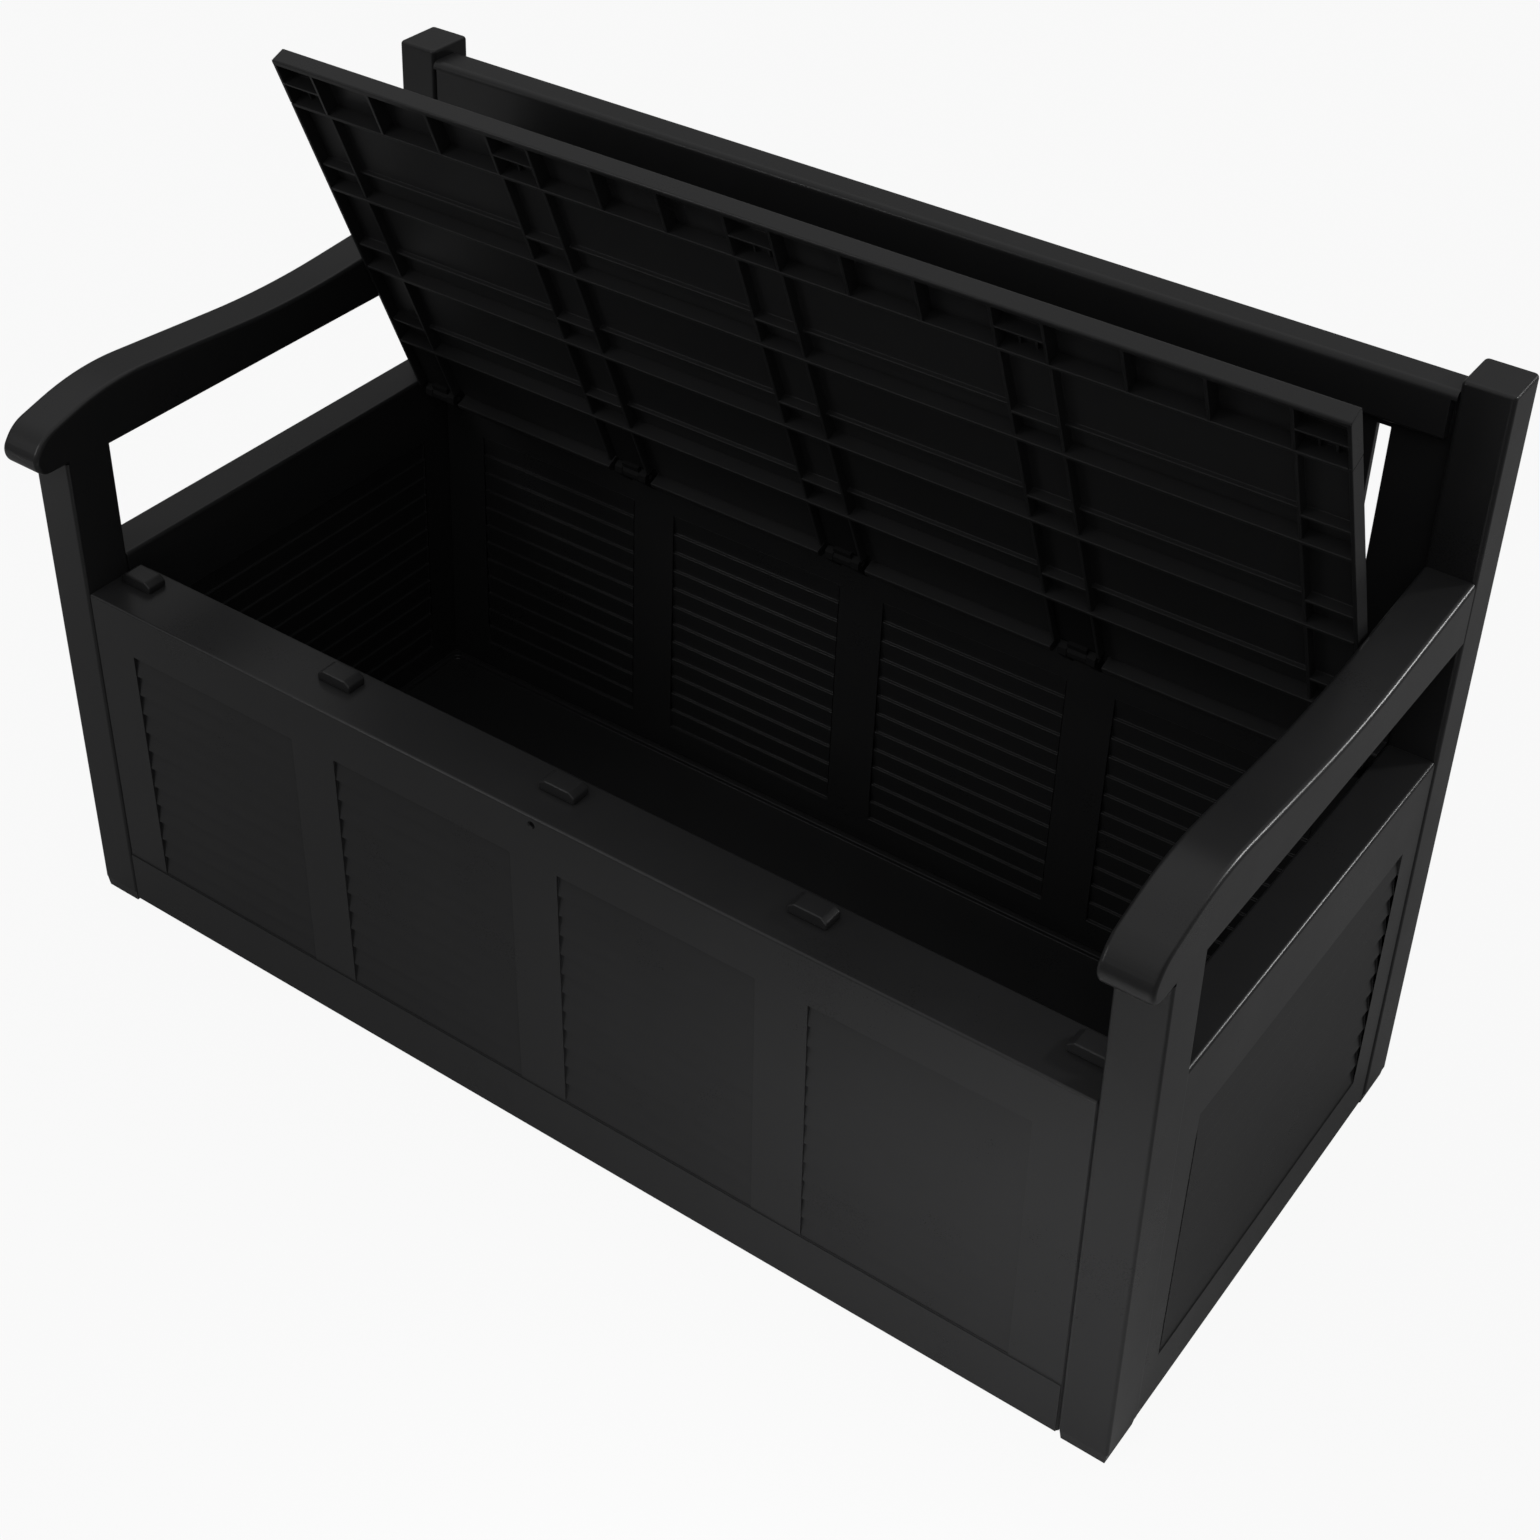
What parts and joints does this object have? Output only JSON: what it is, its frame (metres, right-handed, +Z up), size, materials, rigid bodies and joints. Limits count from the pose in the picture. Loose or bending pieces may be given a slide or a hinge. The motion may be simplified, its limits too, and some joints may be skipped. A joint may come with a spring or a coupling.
{
  "type": "storage bench",
  "caption": "Resin garden bench with arms and a slatted back; its ribbed seat is the hinged lid of a louvred storage box.",
  "frame": {"origin": "middle of the bench's footprint, on the floor", "axes": "+X along the bench to the right as seen from the front, +Y to the back, +Z up"},
  "size_m": [1.3, 0.674, 0.9383],
  "materials": {
    "body_resin": "near-black moulded resin with a soft satin sheen",
    "lid_resin": "near-black moulded resin with a soft satin sheen, ribbed underneath",
    "pin_steel": "plain drawn steel hinge pins"
  },
  "bodies": {
    "base": {"arm_left": "body_resin", "arm_right": "body_resin", "back_bottom_rail": "body_resin", "back_slat_panel": "body_resin", "back_top_rail": "body_resin", "floor_panel": "body_resin", "front_leg_left": "body_resin", "front_leg_right": "body_resin", "front_panel": "body_resin", "hinge_bracket_1": "body_resin", "hinge_bracket_2": "body_resin", "hinge_bracket_3": "body_resin", "hinge_bracket_4": "body_resin", "hinge_bracket_5": "body_resin", "hinge_pins": "pin_steel", "rear_ledge": "body_resin", "rear_panel": "body_resin", "rear_post_left": "body_resin", "rear_post_right": "body_resin", "side_panel_left": "body_resin", "side_panel_right": "body_resin", "stop_block_1": "body_resin", "stop_block_2": "body_resin", "stop_block_3": "body_resin", "stop_block_4": "body_resin", "stop_block_5": "body_resin"},
    "lid": {"hinge_leaf_1": "lid_resin", "hinge_leaf_2": "lid_resin", "hinge_leaf_3": "lid_resin", "hinge_leaf_4": "lid_resin", "hinge_leaf_5": "lid_resin", "lid_end_left": "lid_resin", "lid_end_right": "lid_resin", "lid_lip": "lid_resin", "lid_plank_1": "lid_resin", "lid_plank_2": "lid_resin", "lid_plank_3": "lid_resin", "lid_plank_4": "lid_resin"}
  },
  "joints": [
    {"name": "lid_hinge", "type": "hinge", "parent": "base", "child": "lid", "pos_m": [0, 0.2424, 0.4455], "axis": [-1, 0, 0], "range_deg": [-67, 26]}
  ]
}
